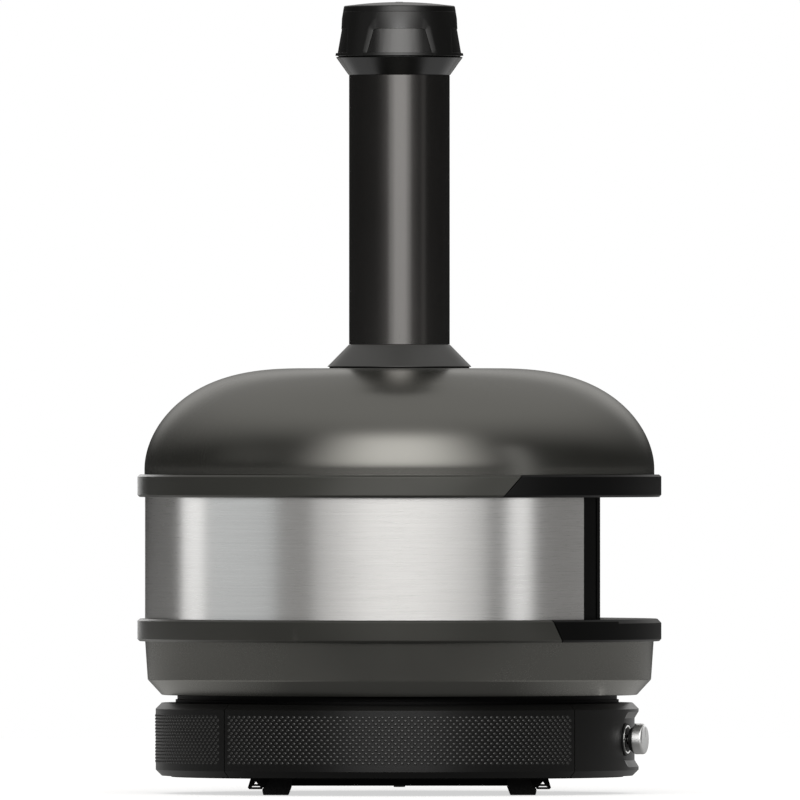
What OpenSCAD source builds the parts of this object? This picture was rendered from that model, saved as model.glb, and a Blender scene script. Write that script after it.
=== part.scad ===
// Tabletop gas pizza oven: a round base with the gas controls, an insulated bowl and dome
// joined by a steel wall, a recessed mouth at the front, and a lift-off flue with a damper hood.
// Front (the mouth) faces +X. Left and right are those of a cook who faces the mouth:
// left is -Y and right is +Y. The origin is on the worktop, under the middle of the oven.

/* [Rims and wall] */
// Outer diameter of the two trim rings
rim_d = 640; // [620:5:660]
// Height of each trim ring
rim_h = 27.4; // [24:0.2:32]
// Height of the steel wall that shows between the rings, which is the mouth's height
mouth_h = 148.6; // [130:0.2:170]
// Distance from the centre to the front of the mouth frame
mouth_front = 244; // [236:1:250]
// Width of the mouth opening
mouth_w = 364; // [320:2:368]

/* [Base] */
// Outer diameter of the base casing
base_d = 590; // [580:2:600]
// Height of the base casing
base_h = 89; // [84:1:100]
// How far the base sits behind the centre of the oven
base_setback = 2.7; // [0:0.1:5]
// Height of the feet under the base plate
foot_h = 20.4; // [18:0.2:30]
// Distance from the centre to the middle of each foot, across and along
foot_reach = 150; // [146:1:160]

/* [Controls] */
// Diameter of a knob's metal cap
knob_d = 36; // [30:1:40]
// Angle of each knob from straight ahead
knob_angle = 16.5; // [14:0.5:18]
// How far a knob pushes in
knob_push = 3; // [2:0.5:3]

/* [Bowl and dome] */
// Height of the bowl under the lower ring
bowl_h = 65.6; // [60:0.2:80]
// Height of the dome above the upper ring
dome_h = 129.8; // [120:0.2:140]
// Diameter of the pizza stone
stone_d = 400; // [380:5:400]

/* [Flue] */
// Outer diameter of the flue pipe
flue_d = 123; // [118:1:126]
// Length of the flue pipe
flue_len = 329; // [200:1:400]

/* [Hidden] */
$fn = 96;
gap = 0.3;              // clearance between parts that only meet
sheet = 2;              // thickness of pressed steel
far = 900;              // longer than anything that it cuts

rim_r = rim_d / 2;
seat_r = rim_r - 8.4;   // inside of a ring's outer band
shell_r = seat_r - 0.2; // outside of the dome's and the bowl's mouths
wall_r = seat_r - 0.8;  // outside of the steel wall
web_r = seat_r - 11.6;  // inside of a ring's web
web_t = 4;
rim_bevel = 2.6;

base_r = base_d / 2;
base_x = -base_setback;
base_bevel = 7.3;
panel_t = 3;
front_t = 8;            // the front panel is thicker, for the control recess
plate_t = 1.5;
neck_h = 9.6;
neck_r = base_r - 24.3;

// Heights of the stack, from the worktop up
plate_z = foot_h;
base_z = plate_z + plate_t;
top_z = base_z + base_h;
bowl_z = top_z + neck_h;
lower_z = bowl_z + bowl_h;
sill_z = lower_z + rim_h;
upper_z = sill_z + mouth_h;
crown_z = upper_z + rim_h;
peak_z = crown_z + dome_h;
collar_z = peak_z + 1.6;
flue_z = collar_z + 27.4;
cap_z = flue_z + flue_len + 0.2;

lower_web_z = lower_z + 11.8;
upper_web_z = upper_z + 11.8;

// Dome outline: a superellipse shoulder from an upright skirt to a flat seat for the flue
shoulder_h = 121.8;
shoulder_z = peak_z - shoulder_h;
shoulder_m = 2.636;     // how square the outline is, outwards
shoulder_n = 1.827;     // how square the outline is, upwards
seat_flat_r = 112;

// Cooking chamber
liner_r = rim_r - 54;
liner_t = 1.5;
liner_rise = 220;
liner_z = lower_web_z - 13.5;
liner_wall_h = 65;
liner_front = mouth_front - 21.5;
tray_z = liner_z - 2;
stone_t = 15;
stone_z = sill_z + 0.5 - stone_t;
burner_r = liner_r - 34;
burner_tube_r = 8;
burner_z = sill_z - 1.5;
burner_from = 125;
burner_sweep = 50;
riser_angle = burner_from + burner_sweep / 2;
electrode_angle = 123;
pipe_r = 4;
throat_h = mouth_h - 20.2;
throat_corner = 40;
frame_t = 20;

// Flue and damper cap
flue_r = flue_d / 2;
flue_t = 1.5;
spigot_r = flue_r - flue_t - 0.4;
spigot_t = 1.6;
spigot_up = 42;
hood_r = flue_r + 16.7;
hood_top_r = hood_r - 9.3;
hood_h = 53.4;
hood_t = 3;             // at the windows; the band above them is thicker
hood_z = cap_z + 23.4;
hood_step_z = hood_z + 33.4;
sleeve_t = 1.5;
sleeve_z = hood_z + 2;
sleeve_top = hood_step_z - 0.4;
pin_r = 5;
pin_bore_r = 2.05;
lid_z = hood_z + hood_h + 0.05;
lid_h = 7.6;
crown_h = 4.6;
lid_top = lid_z + lid_h + crown_h;

// Ends of the dark front pieces of the two rings: angle from straight ahead, lean of the cut
visor_angle = 64.4;
visor_lean = 44;
lip_angle = 52.9;
lip_lean = -30;
seam = 0.35;

// Controls, measured outwards from the base's centre
knob_z = base_z + 44.8;
recess_depth = 5;
recess_floor = base_r - recess_depth;
recess_half = 16;       // half-angle between the middles of the recess's round ends
recess_r = 25.7;        // half the height of the recess floor
recess_slope = 1.6;
stem_r = 4;
stem_from = recess_floor - 31;
stem_to = recess_floor + 18.5;
skirt_from = recess_floor + 7.2;
skirt_to = recess_floor + 12.8;
knob_to = recess_floor + 25.4;
bezel_to = recess_floor + 3;
valve_from = recess_floor - 55;
valve_nose = recess_floor - panel_t - 0.5;
valve_pocket = recess_floor - 20;
valve_mid = recess_floor - 45;
manifold_z = knob_z - 24;
piezo_z = knob_z + 25;

front_half = 43;        // half-angle of the front panel
rear_half = 44.6;       // half-angle of the rear panel
panel_gap = 0.12;       // half-angle of the line between panels
flange_r = base_r - 35;
screw_ring_r = flange_r + 8;
inlet_r = 7;
inlet_bore_r = 5.9;
inlet_len = 14;
inlet_face = base_r - 4;

// ---------- shared shapes ----------

module ring(outer, inner, z0, z1) {
    translate([0, 0, z0])
        difference() {
            cylinder(h = z1 - z0, r = outer);
            translate([0, 0, -1]) cylinder(h = z1 - z0 + 2, r = inner);
        }
}

module disc(r, z0, z1) {
    translate([0, 0, z0]) cylinder(h = z1 - z0, r = r);
}

// A solid of revolution, or the part of one between two angles
module lathe(points, from = 0, sweep = 360) {
    rotate([0, 0, from]) rotate_extrude(angle = sweep) polygon(points);
}

// Rod between two points
module rod(p, q, r) {
    d = q - p;
    translate(p)
        rotate([0, acos(d[2] / norm(d)), atan2(d[1], d[0])])
            cylinder(h = norm(d), r = r);
}

// Pipe through a list of points, with ball-shaped elbows
module pipe(points, r) {
    for (i = [0 : len(points) - 2]) rod(points[i], points[i + 1], r);
    for (i = [1 : 1 : len(points) - 2]) translate(points[i]) sphere(r = 1.3 * r);
}

// Everything on one side of an upright plane through the axis. The plane stands at the
// angle given from straight ahead and leans about its own radius by lean, at height z.
module half_space(angle, lean, z) {
    translate([0, 0, z])
        rotate([0, 0, angle])
            rotate([lean, 0, 0])
                translate([-far, -2 * far, -far]) cube(2 * far);
}

// The front wedge between two leaning planes
module front_wedge(angle, lean, z) {
    intersection() {
        half_space(angle, lean, z);
        mirror([0, 1, 0]) half_space(angle, lean, z);
    }
}

// Rounded rectangle in the Y-Z plane at x0, pushed along X
module mouth_block(half_w, z0, z1, corner, x0, x1) {
    translate([x0, 0, 0])
        rotate([90, 0, 90])
            linear_extrude(height = x1 - x0)
                union() {
                    translate([-half_w, z0]) square([2 * half_w, z1 - z0 - corner]);
                    translate([corner - half_w, z0]) square([2 * (half_w - corner), z1 - z0]);
                    for (side = [-1, 1])
                        translate([side * (half_w - corner), z1 - corner]) circle(r = corner);
                }
}

// Draws its children outwards along a knob's axis: local Z is the distance from the base's centre
module at_knob(side) {
    translate([base_x, 0, knob_z]) rotate([0, 0, side * knob_angle]) rotate([0, 90, 0]) children();
}

function knob_point(side, rho, z) =
    [base_x + rho * cos(knob_angle), side * rho * sin(knob_angle), z];

function polar(r, angle, z) = [r * cos(angle), r * sin(angle), z];

// ---------- feet and base ----------

module foot(along, across) {
    near = foot_reach - 19;
    color("#141413")
        at_corner(along, across)
            rotate([90, 0, 0])
                translate([0, 0, -18])
                    linear_extrude(height = 36)
                        polygon([
                            [near + 3.8, 0], [near + 34.7, 0], [near + 36, 6.6],
                            [near + 26, plate_z], [near, plate_z], [near, 10]
                        ]);
}

// Puts a piece drawn at the front, in line with the axis, at one of the four corners
module at_corner(along, across) {
    mirror([along > 0 ? 0 : 1, 0, 0]) translate([0, across * foot_reach, 0]) children();
}

// Small steel eyes outside the feet, for a stand or a strap
module stand_hooks() {
    near = foot_reach - 19;
    color("#1b1b1a")
        for (along = [-1, 1], across = [-1, 1])
            at_corner(along, across)
                rotate([90, 0, 0])
                    translate([0, 0, -5])
                        linear_extrude(height = 10)
                            difference() {
                                polygon([
                                    [near + 26.6, plate_z], [near + 50, plate_z],
                                    [near + 53.5, 8.8], [near + 51.5, 7], [near + 36.3, 7]
                                ]);
                                polygon([
                                    [near + 43.5, 16.2], [near + 48.6, 9.6], [near + 38.2, 9.6]
                                ]);
                            }
}

module underside_tray() {
    half_x = foot_reach - 5;
    half_y = foot_reach - 22;
    deep = 9.6;
    color("#161615")
        difference() {
            translate([-half_x, -half_y, plate_z - deep]) cube([2 * half_x, 2 * half_y, deep]);
            translate([3 - half_x, 3 - half_y, plate_z - deep - 1])
                cube([2 * half_x - 6, 2 * half_y - 6, deep - 1.5]);
            disc(4.2, plate_z - 20, plate_z + 1);
        }
}

module centre_bolt() {
    color("#202020")
        union() {
            translate([0, 0, plate_z - 12.6]) cylinder(h = 10, r = 7, $fn = 6);
            disc(4, plate_z - 4, plate_z + 6);
        }
}

module base_screws() {
    color("#2a2a29")
        for (i = [0 : 7])
            translate([base_x, 0, 0])
                translate(polar(screw_ring_r, 22.5 + 45 * i, plate_z)) {
                    cylinder(h = plate_t, r1 = 3.68, r2 = 2.18);
                    disc(2, plate_t - 0.5, plate_t + 5);
                }
}

module screw_holes(r) {
    for (i = [0 : 7]) translate(polar(screw_ring_r, 22.5 + 45 * i, 0)) disc(r, 0, base_z + 20);
}

module base_bottom_plate() {
    color("#121212")
        difference() {
            translate([base_x, 0, 0])
                difference() {
                    disc(base_r - 19, plate_z, base_z);
                    screw_holes(2.2);
                    for (i = [0 : 7])
                        translate(polar(screw_ring_r, 22.5 + 45 * i, plate_z - 0.5))
                            cylinder(h = plate_t + 0.5, r1 = 4.2, r2 = 2.2);
                }
            disc(4.2, 0, far);
        }
}

// Section of a casing panel: a channel with bevelled corners
function panel_section(wall) =
    let (b = base_bevel, k = 0.41 * panel_t, i = base_r - wall)
    [
        [flange_r, base_z], [base_r - b, base_z], [base_r, base_z + b],
        [base_r, top_z - b], [base_r - b, top_z], [flange_r, top_z],
        [flange_r, top_z - panel_t], [min(i, base_r - b - k), top_z - panel_t],
        [i, min(top_z - panel_t - 0.5, top_z - b - k)],
        [i, max(base_z + panel_t + 0.5, base_z + b + k)],
        [min(i, base_r - b - k), base_z + panel_t], [flange_r, base_z + panel_t]
    ];

module panel(from, to, wall = panel_t) {
    translate([base_x, 0, 0])
        difference() {
            lathe(panel_section(wall), from + panel_gap, to - from - 2 * panel_gap);
            screw_holes(2.2);
        }
}

// Long recess with sloped sides and round ends, wrapped round the front of the base
module recess() {
    deep = 2;
    over = recess_depth + 1;
    tight = recess_r - recess_slope * deep;
    wide = recess_r + recess_slope * over;
    translate([base_x, 0, knob_z])
        difference() {
            union() {
                lathe([
                    [recess_floor - deep, -tight], [recess_floor + over, -wide],
                    [recess_floor + over, wide], [recess_floor - deep, tight]
                ], -recess_half, 2 * recess_half);
                for (side = [-1, 1])
                    rotate([0, 0, side * recess_half])
                        translate([recess_floor - deep, 0, 0])
                            rotate([0, 90, 0])
                                cylinder(h = over + deep, r1 = tight + 0.1, r2 = wide + 0.1);
            }
            disc(recess_floor, -far, far);
        }
}

module base_front_panel() {
    color("#1c1c1b")
        difference() {
            panel(-front_half, front_half, front_t);
            recess();
            for (side = [-1, 1])
                at_knob(side) translate([0, 0, base_r - 40]) cylinder(h = 60, r = stem_r + 2);
        }
}

module base_left_panel() {
    color("#1e1e1d") panel(-180 + rear_half, -front_half);
}

module base_right_panel() {
    color("#1e1e1d") panel(front_half, 180 - rear_half);
}

module base_rear_panel() {
    color("#1e1e1d")
        difference() {
            panel(180 - rear_half, 180 + rear_half);
            translate([base_x, 0, knob_z])
                rotate([0, -90, 0]) cylinder(h = far, r = inlet_r + 0.2);
        }
}

module riser_holes(r) {
    for (side = [-1, 1]) {
        translate(polar(burner_r, side * riser_angle, 0)) disc(r, 0, far);
        translate(polar(burner_r, side * electrode_angle, 0)) disc(r - 1.5, 0, far);
    }
}

module base_top_plate() {
    color("#0e0e0e")
        difference() {
            translate([base_x, 0, 0]) disc(base_r - 11, top_z - 2 * panel_t, top_z - panel_t);
            riser_holes(6);
        }
}

module neck_ring() {
    step = 4.2;
    color("#242424")
        translate([base_x, 0, 0])
            lathe([
                [neck_r - 5, top_z], [neck_r, top_z], [neck_r, top_z + step],
                [neck_r - 2.2, top_z + step], [neck_r - 2.2, bowl_z], [neck_r - 5, bowl_z]
            ]);
}

// ---------- gas supply ----------

module gas_inlet() {
    color("#b08d4a")
        translate([base_x, 0, knob_z])
            rotate([0, -90, 0])
                difference() {
                    union() {
                        translate([0, 0, inlet_face - 22]) cylinder(h = 22, r = inlet_r);
                        translate([0, 0, inlet_face - 26]) cylinder(h = 12, r = 11, $fn = 6);
                    }
                    translate([0, 0, inlet_face - inlet_len]) cylinder(h = 20, r = inlet_bore_r);
                    translate([0, 0, inlet_face - 40]) cylinder(h = 60, r = 2.5);
                }
}

module gas_manifold() {
    bar = knob_point(1, valve_mid, manifold_z);
    rear = base_x - inlet_face + 26;
    color("#b9b7b0")
        union() {
            pipe([
                [rear, 0, knob_z], [rear + 20, 0, knob_z],
                [rear + 20, 0, manifold_z], [bar[0], 0, manifold_z]
            ], 5);
            rod([bar[0], -bar[1] - 12, bar[2]], [bar[0], bar[1] + 12, bar[2]], 7);
        }
}

module gas_valve(side) {
    color("#a9a59a")
        difference() {
            union() {
                at_knob(side) {
                    translate([0, 0, valve_from]) cylinder(h = 35, r = 14);
                    translate([0, 0, valve_pocket - 2]) cylinder(h = valve_nose - valve_pocket + 2, r = 11);
                }
                rod(knob_point(side, valve_mid, manifold_z + 7), knob_point(side, valve_mid, knob_z - 8), 6);
            }
            at_knob(side) {
                translate([0, 0, stem_from - knob_push - 1]) cylinder(h = 60, r = stem_r + 0.05);
                translate([0, 0, valve_pocket]) cylinder(h = 60, r = 8);
            }
        }
}

module piezo_igniters() {
    color("#dcdad2")
        for (side = [-1, 1])
            rod(knob_point(side, valve_from + 5, piezo_z), knob_point(side, valve_from + 35, piezo_z), 9);
}

module ignition_leads() {
    color("#8c1f1a")
        for (side = [-1, 1])
            pipe([
                knob_point(side, valve_from + 5, piezo_z),
                polar(burner_r, side * electrode_angle, piezo_z),
                polar(burner_r, side * electrode_angle, bowl_z + 25)
            ], 1.5);
}

module igniter_electrodes() {
    color("#e8e4da")
        for (side = [-1, 1])
            translate(polar(burner_r, side * electrode_angle, 0)) {
                disc(2.5, bowl_z + 25, burner_z - 4);
                disc(1, burner_z - 5, burner_z + 6);
            }
}

module burner_pipe(side) {
    start = knob_point(side, valve_from - 2, knob_z);
    foot = polar(burner_r, side * riser_angle, knob_z);
    color("#b9b7b0")
        pipe([start, foot, [foot[0], foot[1], burner_z - burner_tube_r]], pipe_r);
}

module burner(side) {
    color("#8f8b84")
        mirror([0, side > 0 ? 0 : 1, 0])
            translate([0, 0, burner_z])
                rotate([0, 0, burner_from])
                    rotate_extrude(angle = burner_sweep)
                        translate([burner_r, 0]) circle(r = burner_tube_r);
}

// ---------- controls ----------

module knob_bezels() {
    color("#101010")
        for (side = [-1, 1])
            at_knob(side)
                difference() {
                    translate([0, 0, recess_floor + 0.05])
                        cylinder(h = bezel_to - recess_floor, r = knob_d / 2 + 2);
                    translate([0, 0, recess_floor - 10]) cylinder(h = 40, r = stem_r + 2.5);
                }
}

module push_collar(side) {
    color("#c8c8c4")
        at_knob(side)
            difference() {
                translate([0, 0, valve_nose - 5]) cylinder(h = 2.5, r = 7.9);
                translate([0, 0, valve_nose - 10]) cylinder(h = 20, r = stem_r + 0.1);
            }
}

module valve_stem(side) {
    color("#d6d6d3")
        at_knob(side) translate([0, 0, stem_from]) cylinder(h = stem_to - stem_from, r = stem_r);
}

module knob_skirt(side) {
    color("#151515")
        at_knob(side)
            difference() {
                union() {
                    translate([0, 0, skirt_from]) cylinder(h = 3.4, r = knob_d / 2 - 4);
                    translate([0, 0, skirt_from + 3.4])
                        cylinder(h = skirt_to - skirt_from - 3.4, r = knob_d / 2 - 1.8);
                }
                translate([0, 0, recess_floor]) cylinder(h = 60, r = stem_r + 0.02);
            }
}

module knob_cap(side) {
    r = knob_d / 2;
    edge = 3;
    long = knob_to - skirt_to;
    color("#d9d9d9")
        at_knob(side)
            difference() {
                translate([0, 0, skirt_to])
                    lathe(concat(
                        [[0, 0], [r - 0.6, 0], [r, 0.6]],
                        [for (a = [0 : 15 : 90]) [r - edge + edge * cos(a), long - edge + edge * sin(a)]],
                        [[0, long]]
                    ));
                translate([0, 0, skirt_to - 1]) cylinder(h = stem_to - skirt_to + 1.2, r = stem_r + 0.02);
                translate([-r + 3, -0.8, knob_to - 0.8]) cube([r - 6, 1.6, 2]);
            }
}

// ---------- bowl and hearth ----------

function bowl_section() =
    let (foot_r = shell_r - 21.2, knee_r = shell_r - 4, knee_z = bowl_z + 18.7)
    [
        [0, bowl_z], [foot_r, bowl_z], [knee_r, knee_z], [shell_r, lower_web_z],
        [shell_r - sheet, lower_web_z], [knee_r - sheet, knee_z + 1],
        [foot_r - sheet / 2, bowl_z + sheet], [0, bowl_z + sheet]
    ];

module bowl_shell() {
    color("#45463f") difference() {
        lathe(bowl_section());
        riser_holes(6);
    }
}

module hearth_insulation() {
    color("#d8d2c4") difference() {
        disc(shell_r - 25, bowl_z + sheet + gap, tray_z - gap);
        riser_holes(6);
    }
}

module hearth_tray() {
    color("#77756f") difference() {
        union() {
            disc(web_r - 2, tray_z, liner_z);
            for (r = [40, 110, 180]) ring(r, r - 4, liner_z - 0.5, stone_z);
        }
        riser_holes(6);
    }
}

module pizza_stone() {
    r = stone_d / 2;
    color("#c9b79a")
        lathe([
            [0, stone_z], [r, stone_z], [r, stone_z + stone_t - 1.5],
            [r - 1.5, stone_z + stone_t], [0, stone_z + stone_t]
        ]);
}

// ---------- trim rings ----------

// Section of a ring: bevelled outer band with a web that carries the dome or the wall
function trim_section(z, web_z, top_bevel = rim_bevel) = [
    [seat_r, z], [rim_r - rim_bevel, z], [rim_r, z + rim_bevel],
    [rim_r, z + rim_h - top_bevel], [rim_r - top_bevel, z + rim_h], [seat_r, z + rim_h],
    [seat_r, web_z + web_t], [web_r, web_z + web_t], [web_r, web_z], [seat_r, web_z]
];

// The level face between the mouth frame and a ring
module apron(z0, z1) {
    intersection() {
        disc(seat_r + 0.5, z0, z1);
        translate([mouth_front + gap, -far, z0]) cube([far, 2 * far, z1 - z0]);
    }
}

module lower_trim_ring() {
    color("#45463f") difference() {
        lathe(trim_section(lower_z, lower_web_z));
        front_wedge(lip_angle + seam / 4, lip_lean, lower_z + rim_h / 2);
    }
}

// Dark front of the lower ring, with the landing in front of the stone and a sloped lip
module landing_lip() {
    slope = 5;
    color("#0d0d0d") difference() {
        union() {
            intersection() {
                lathe(trim_section(lower_z, lower_web_z));
                front_wedge(lip_angle - seam / 4, lip_lean, lower_z + rim_h / 2);
            }
            apron(sill_z - 2, sill_z);
        }
        lathe([
            [rim_r - slope, sill_z + 0.01], [rim_r + 1, sill_z - slope - 1], [rim_r + 1, sill_z + 1],
            [rim_r - slope, sill_z + 1]
        ], -33.5, 67);
    }
}

module upper_trim_ring() {
    color("#45463f") difference() {
        lathe(trim_section(upper_z, upper_web_z));
        front_wedge(visor_angle + seam / 4, visor_lean, upper_z + rim_h / 2);
    }
}

// Dark front of the upper ring, with the ceiling over the landing
module visor() {
    color("#0d0d0d") union() {
        intersection() {
            lathe(trim_section(upper_z, upper_web_z));
            front_wedge(visor_angle - seam / 4, visor_lean, upper_z + rim_h / 2);
        }
        apron(upper_z, upper_z + 2);
    }
}

// ---------- wall, chamber and mouth ----------

module behind_mouth(x) {
    intersection() {
        children();
        translate([x - 2 * far, -far, -far]) cube(2 * far);
    }
}

module steel_wall() {
    color("#c9c9c7")
        behind_mouth(mouth_front - frame_t)
            ring(wall_r, wall_r - 1.5, lower_web_z + web_t, upper_web_z);
}

module wall_insulation() {
    color("#e4dfd2")
        behind_mouth(mouth_front - frame_t - 1)
            difference() {
                ring(web_r - 1, liner_r + 1, liner_z + gap, upper_web_z - 1);
                mouth_block(mouth_w / 2 + 2.5, liner_z - 5, sill_z + throat_h + 2.5, throat_corner, 0, far);
            }
}

// Inside of the chamber, as an outline from the floor to the flue, set in by t
function liner_curve(t) = [
    for (i = [0 : 24])
        let (a = i * 90 / 24, r = (liner_r - t) * cos(a))
        if (r > spigot_r + 0.4) [r, liner_z + liner_wall_h + (liner_rise - t) * sin(a)]
];

function liner_outline(t) = let (curve = liner_curve(t), top = curve[len(curve) - 1]) concat(
    [[liner_r - t, liner_z]], curve,
    [[spigot_r + 0.3, top[1] + 2.2]]
);

function reversed(list) = [for (i = [len(list) - 1 : -1 : 0]) list[i]];

// Round wall and roof of the chamber, cut off flat behind the mouth frame
module chamber_liner() {
    color("#8c8780")
        behind_mouth(liner_front)
            difference() {
                lathe(concat(liner_outline(0), reversed(liner_outline(liner_t))));
                mouth_block(mouth_w / 2 + 2, liner_z - 5, sill_z + throat_h + 2, throat_corner, 0, far);
            }
}

// Sleeve that joins the mouth frame to the liner, with a sill in front of the stone
module mouth_throat() {
    half_w = mouth_w / 2;
    back = 110;
    color("#6f6c67") union() {
        difference() {
            mouth_block(half_w + 1.5, sill_z - 1, sill_z + throat_h + 1.5, throat_corner + 1.5,
                        back, mouth_front - frame_t);
            mouth_block(half_w, sill_z - 2, sill_z + throat_h, throat_corner, 0, far);
            lathe(concat([[0, liner_z - 20]], [[liner_r - liner_t - 0.4, liner_z - 20]],
                         liner_outline(liner_t + 0.4), [[0, liner_z + liner_wall_h + liner_rise]]));
        }
        difference() {
            translate([back, -half_w - 1.5, sill_z - 2])
                cube([mouth_front - frame_t - back, mouth_w + 3, 1.5]);
            disc(stone_d / 2 + 2, 0, far);
        }
    }
}

// The frame stops short of the two rings' webs and follows the steel wall at its sides
module mouth_frame() {
    step = 5.5;
    low = lower_web_z + web_t + gap;
    high = upper_web_z - gap;
    color("#0f0f0f") difference() {
        intersection() {
            disc(wall_r - 0.2, low, high);
            translate([mouth_front - frame_t, -far, low]) cube([frame_t, 2 * far, high - low]);
        }
        mouth_block(mouth_w / 2, sill_z, sill_z + throat_h, throat_corner, 0, far);
        difference() {
            translate([mouth_front - step, -far, 0]) cube([1.6, 2 * far, far]);
            disc(wall_r - 1.7, -far, 2 * far);
        }
        at_mouth_screws() cylinder(h = 10, r = 4.6);
    }
}

// The seats of the screws that hold the mouth frame, sunk in its front
module at_mouth_screws() {
    z = (sill_z + throat_h + upper_z) / 2;
    for (y = [-120, -45, 45, 120])
        translate([mouth_front - 2.6, y, z])
            rotate([0, 90, 0]) children();
}

module mouth_screws() {
    color("#3a3a39")
        at_mouth_screws()
            difference() {
                cylinder(h = 2.2, r1 = 4.2, r2 = 3.2);
                translate([0, 0, 1.2]) cylinder(h = 2, r = 1.9, $fn = 6);
            }
}

// ---------- dome ----------

// Outside of the dome from the ring to the flue seat, set in by t
function dome_outline(t) = concat(
    [[shell_r - t, upper_web_z + web_t]],
    [for (i = [0 : 30])
        let (a = i * 3)
        [
            seat_flat_r + (shell_r - t - seat_flat_r) * pow(cos(a), 2 / shoulder_m),
            shoulder_z + (shoulder_h - t) * pow(sin(a), 2 / shoulder_n)
        ]]
);

module dome_shell() {
    hole = spigot_r + 1;
    rim = [[hole, peak_z], [hole, peak_z - sheet]];
    color("#45463f") lathe(concat(dome_outline(0), rim, reversed(dome_outline(sheet))));
}

module dome_insulation() {
    low = upper_web_z + web_t + 2;
    skin = [for (p = dome_outline(sheet + 2)) if (p[1] > low) p];
    core = [for (p = liner_outline(-1.5)) if (p[1] > low) p];
    rise = low - liner_z - liner_wall_h;
    core_r = (liner_r + 1.5) * sqrt(1 - pow(rise / (liner_rise + 1.5), 2));
    hole = spigot_r + 2;
    color("#e4dfd2")
        lathe(concat(
            [[shell_r - 6, low]], skin, [[hole, peak_z - sheet - 2]],
            [[hole, core[len(core) - 1][1] + 1]], reversed(core), [[core_r, low]]
        ));
}

// ---------- flue and damper ----------

module flue_gasket() {
    color("#080808") ring(flue_r + 24, spigot_r + 1, peak_z, collar_z);
}

module flue_collar() {
    foot_r = flue_r + 26.1;
    top_r = flue_r + 0.2;
    inner = spigot_r + 0.3;
    color("#3b3c36")
        lathe([
            [inner, collar_z], [foot_r, collar_z], [foot_r, collar_z + 0.8], [top_r, flue_z - 0.2],
            [inner, flue_z - 0.2], [inner, flue_z - 2.6], [top_r - 1.6, flue_z - 2.6],
            [foot_r - 5, collar_z + 2.2], [inner, collar_z + 2.2]
        ]);
}

// Pipe from the chamber's roof up through the collar, which the flue drops over
module flue_spigot() {
    roof = liner_outline(0);
    color("#8c8780")
        ring(spigot_r, spigot_r - spigot_t, roof[len(roof) - 1][1] - 14, flue_z + spigot_up);
}

module flue_pipe() {
    color("#131313") ring(flue_r, flue_r - flue_t, flue_z, flue_z + flue_len);
}

// Flared seat of the cap, with a spigot that plugs into the flue
module cap_funnel() {
    r = spigot_r;
    low = cap_z - 30;
    lip = hood_z - 1.5;
    color("#191918")
        lathe([
            [r - 1.6, low], [r, low], [r, cap_z], [flue_r + 0.6, cap_z],
            [hood_r - 1.2, lip - 1], [hood_r - 1.2, lip], [hood_r - 11, lip], [hood_r - 11, lip - 1.8],
            [hood_r - 4, lip - 1.8], [flue_r - 0.8, cap_z + 2], [r - 1.6, cap_z + 2]
        ]);
}

function hood_r_at(z) = hood_r - (z - hood_z) * (hood_r - hood_top_r) / hood_h;

// Inner cone of the damper. Its outlets hide behind the hood's posts when it is shut.
module damper_sleeve() {
    shrink = hood_t + 0.4;
    low_r = hood_r_at(sleeve_z) - shrink;
    top_r = hood_r_at(sleeve_top) - shrink;
    outlet_w = 17;
    outlet_h = 20;
    color("#1d1d1c")
        difference() {
            union() {
                lathe([
                    [low_r - sleeve_t, hood_z - 1.5], [low_r, hood_z - 1.5], [low_r, sleeve_z],
                    [top_r, sleeve_top], [top_r - 4, sleeve_top], [top_r - 4, sleeve_top + 2],
                    [top_r - 5.5, sleeve_top + 2], [top_r - 5.5, sleeve_top],
                    [pin_r - 1, sleeve_top], [pin_r - 1, sleeve_top - 2],
                    [top_r - sleeve_t - 0.5, sleeve_top - 2], [low_r - sleeve_t, sleeve_z]
                ]);
                disc(pin_r, sleeve_top - 2, lid_z + 2);
            }
            disc(pin_bore_r, lid_z - 6, lid_z + 3);
            for (a = [45 : 90 : 315])
                rotate([0, 0, a])
                    translate([0, -outlet_w / 2, sleeve_z + 5]) cube([far, outlet_w, outlet_h]);
        }
}

// Turning hood with four tapered windows between four posts
module damper_hood() {
    low = hood_z + 4;
    knee = hood_z + 34.6;
    high = hood_z + 45.8;
    band_r = hood_r - 8.9;
    color("#191918")
        difference() {
            lathe([
                [hood_r - hood_t, hood_z], [hood_r, hood_z],
                [hood_top_r, hood_z + hood_h], [hood_top_r - 3, hood_z + hood_h],
                [hood_top_r - 1, hood_step_z], [hood_r_at(hood_step_z) - hood_t, hood_step_z]
            ]);
            difference() {
                for (a = [0 : 90 : 270])
                    rotate([0, 0, a])
                        translate([40, 0, 0])
                            rotate([90, 0, 90])
                                linear_extrude(height = 60)
                                    polygon([
                                        [-44, low], [44, low], [36.5, knee], [28, high],
                                        [-28, high], [-36.5, knee]
                                    ]);
                disc(band_r, hood_z - 1, lid_z);
            }
        }
}

// Crowned lid that closes the hood and turns on the sleeve's pin
module damper_lid() {
    r = hood_top_r + 0.1;
    z = lid_z;
    color("#191918")
        difference() {
            union() {
                lathe(concat(
                    [[0, z], [r, z], [r - 1.2, z + lid_h - 1], [r - 2.2, z + lid_h]],
                    [for (i = [1 : 10]) let (s = 1 - i / 10)
                        [(r - 4) * s, z + lid_h + crown_h * (1 - s * s)]]
                ));
                disc(pin_r + 4, z - 7, z + 1);
            }
            disc(pin_r + 0.06, z - 20, z + 3);
            disc(pin_bore_r + 0.05, z - 20, far * 2);
            disc(5.2, lid_top - 2, lid_top + 1);
        }
}

// Screw through the lid into the pin, which the damper turns on
module cap_screw() {
    head_z = lid_top - 1.9;
    color("#2c2c2b")
        difference() {
            union() {
                disc(pin_bore_r - 0.05, lid_z - 5, head_z + 1);
                disc(4.8, head_z, head_z + 2.2);
            }
            translate([0, 0, head_z + 1]) cylinder(h = 3, r = 2.3, $fn = 6);
        }
}

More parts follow.
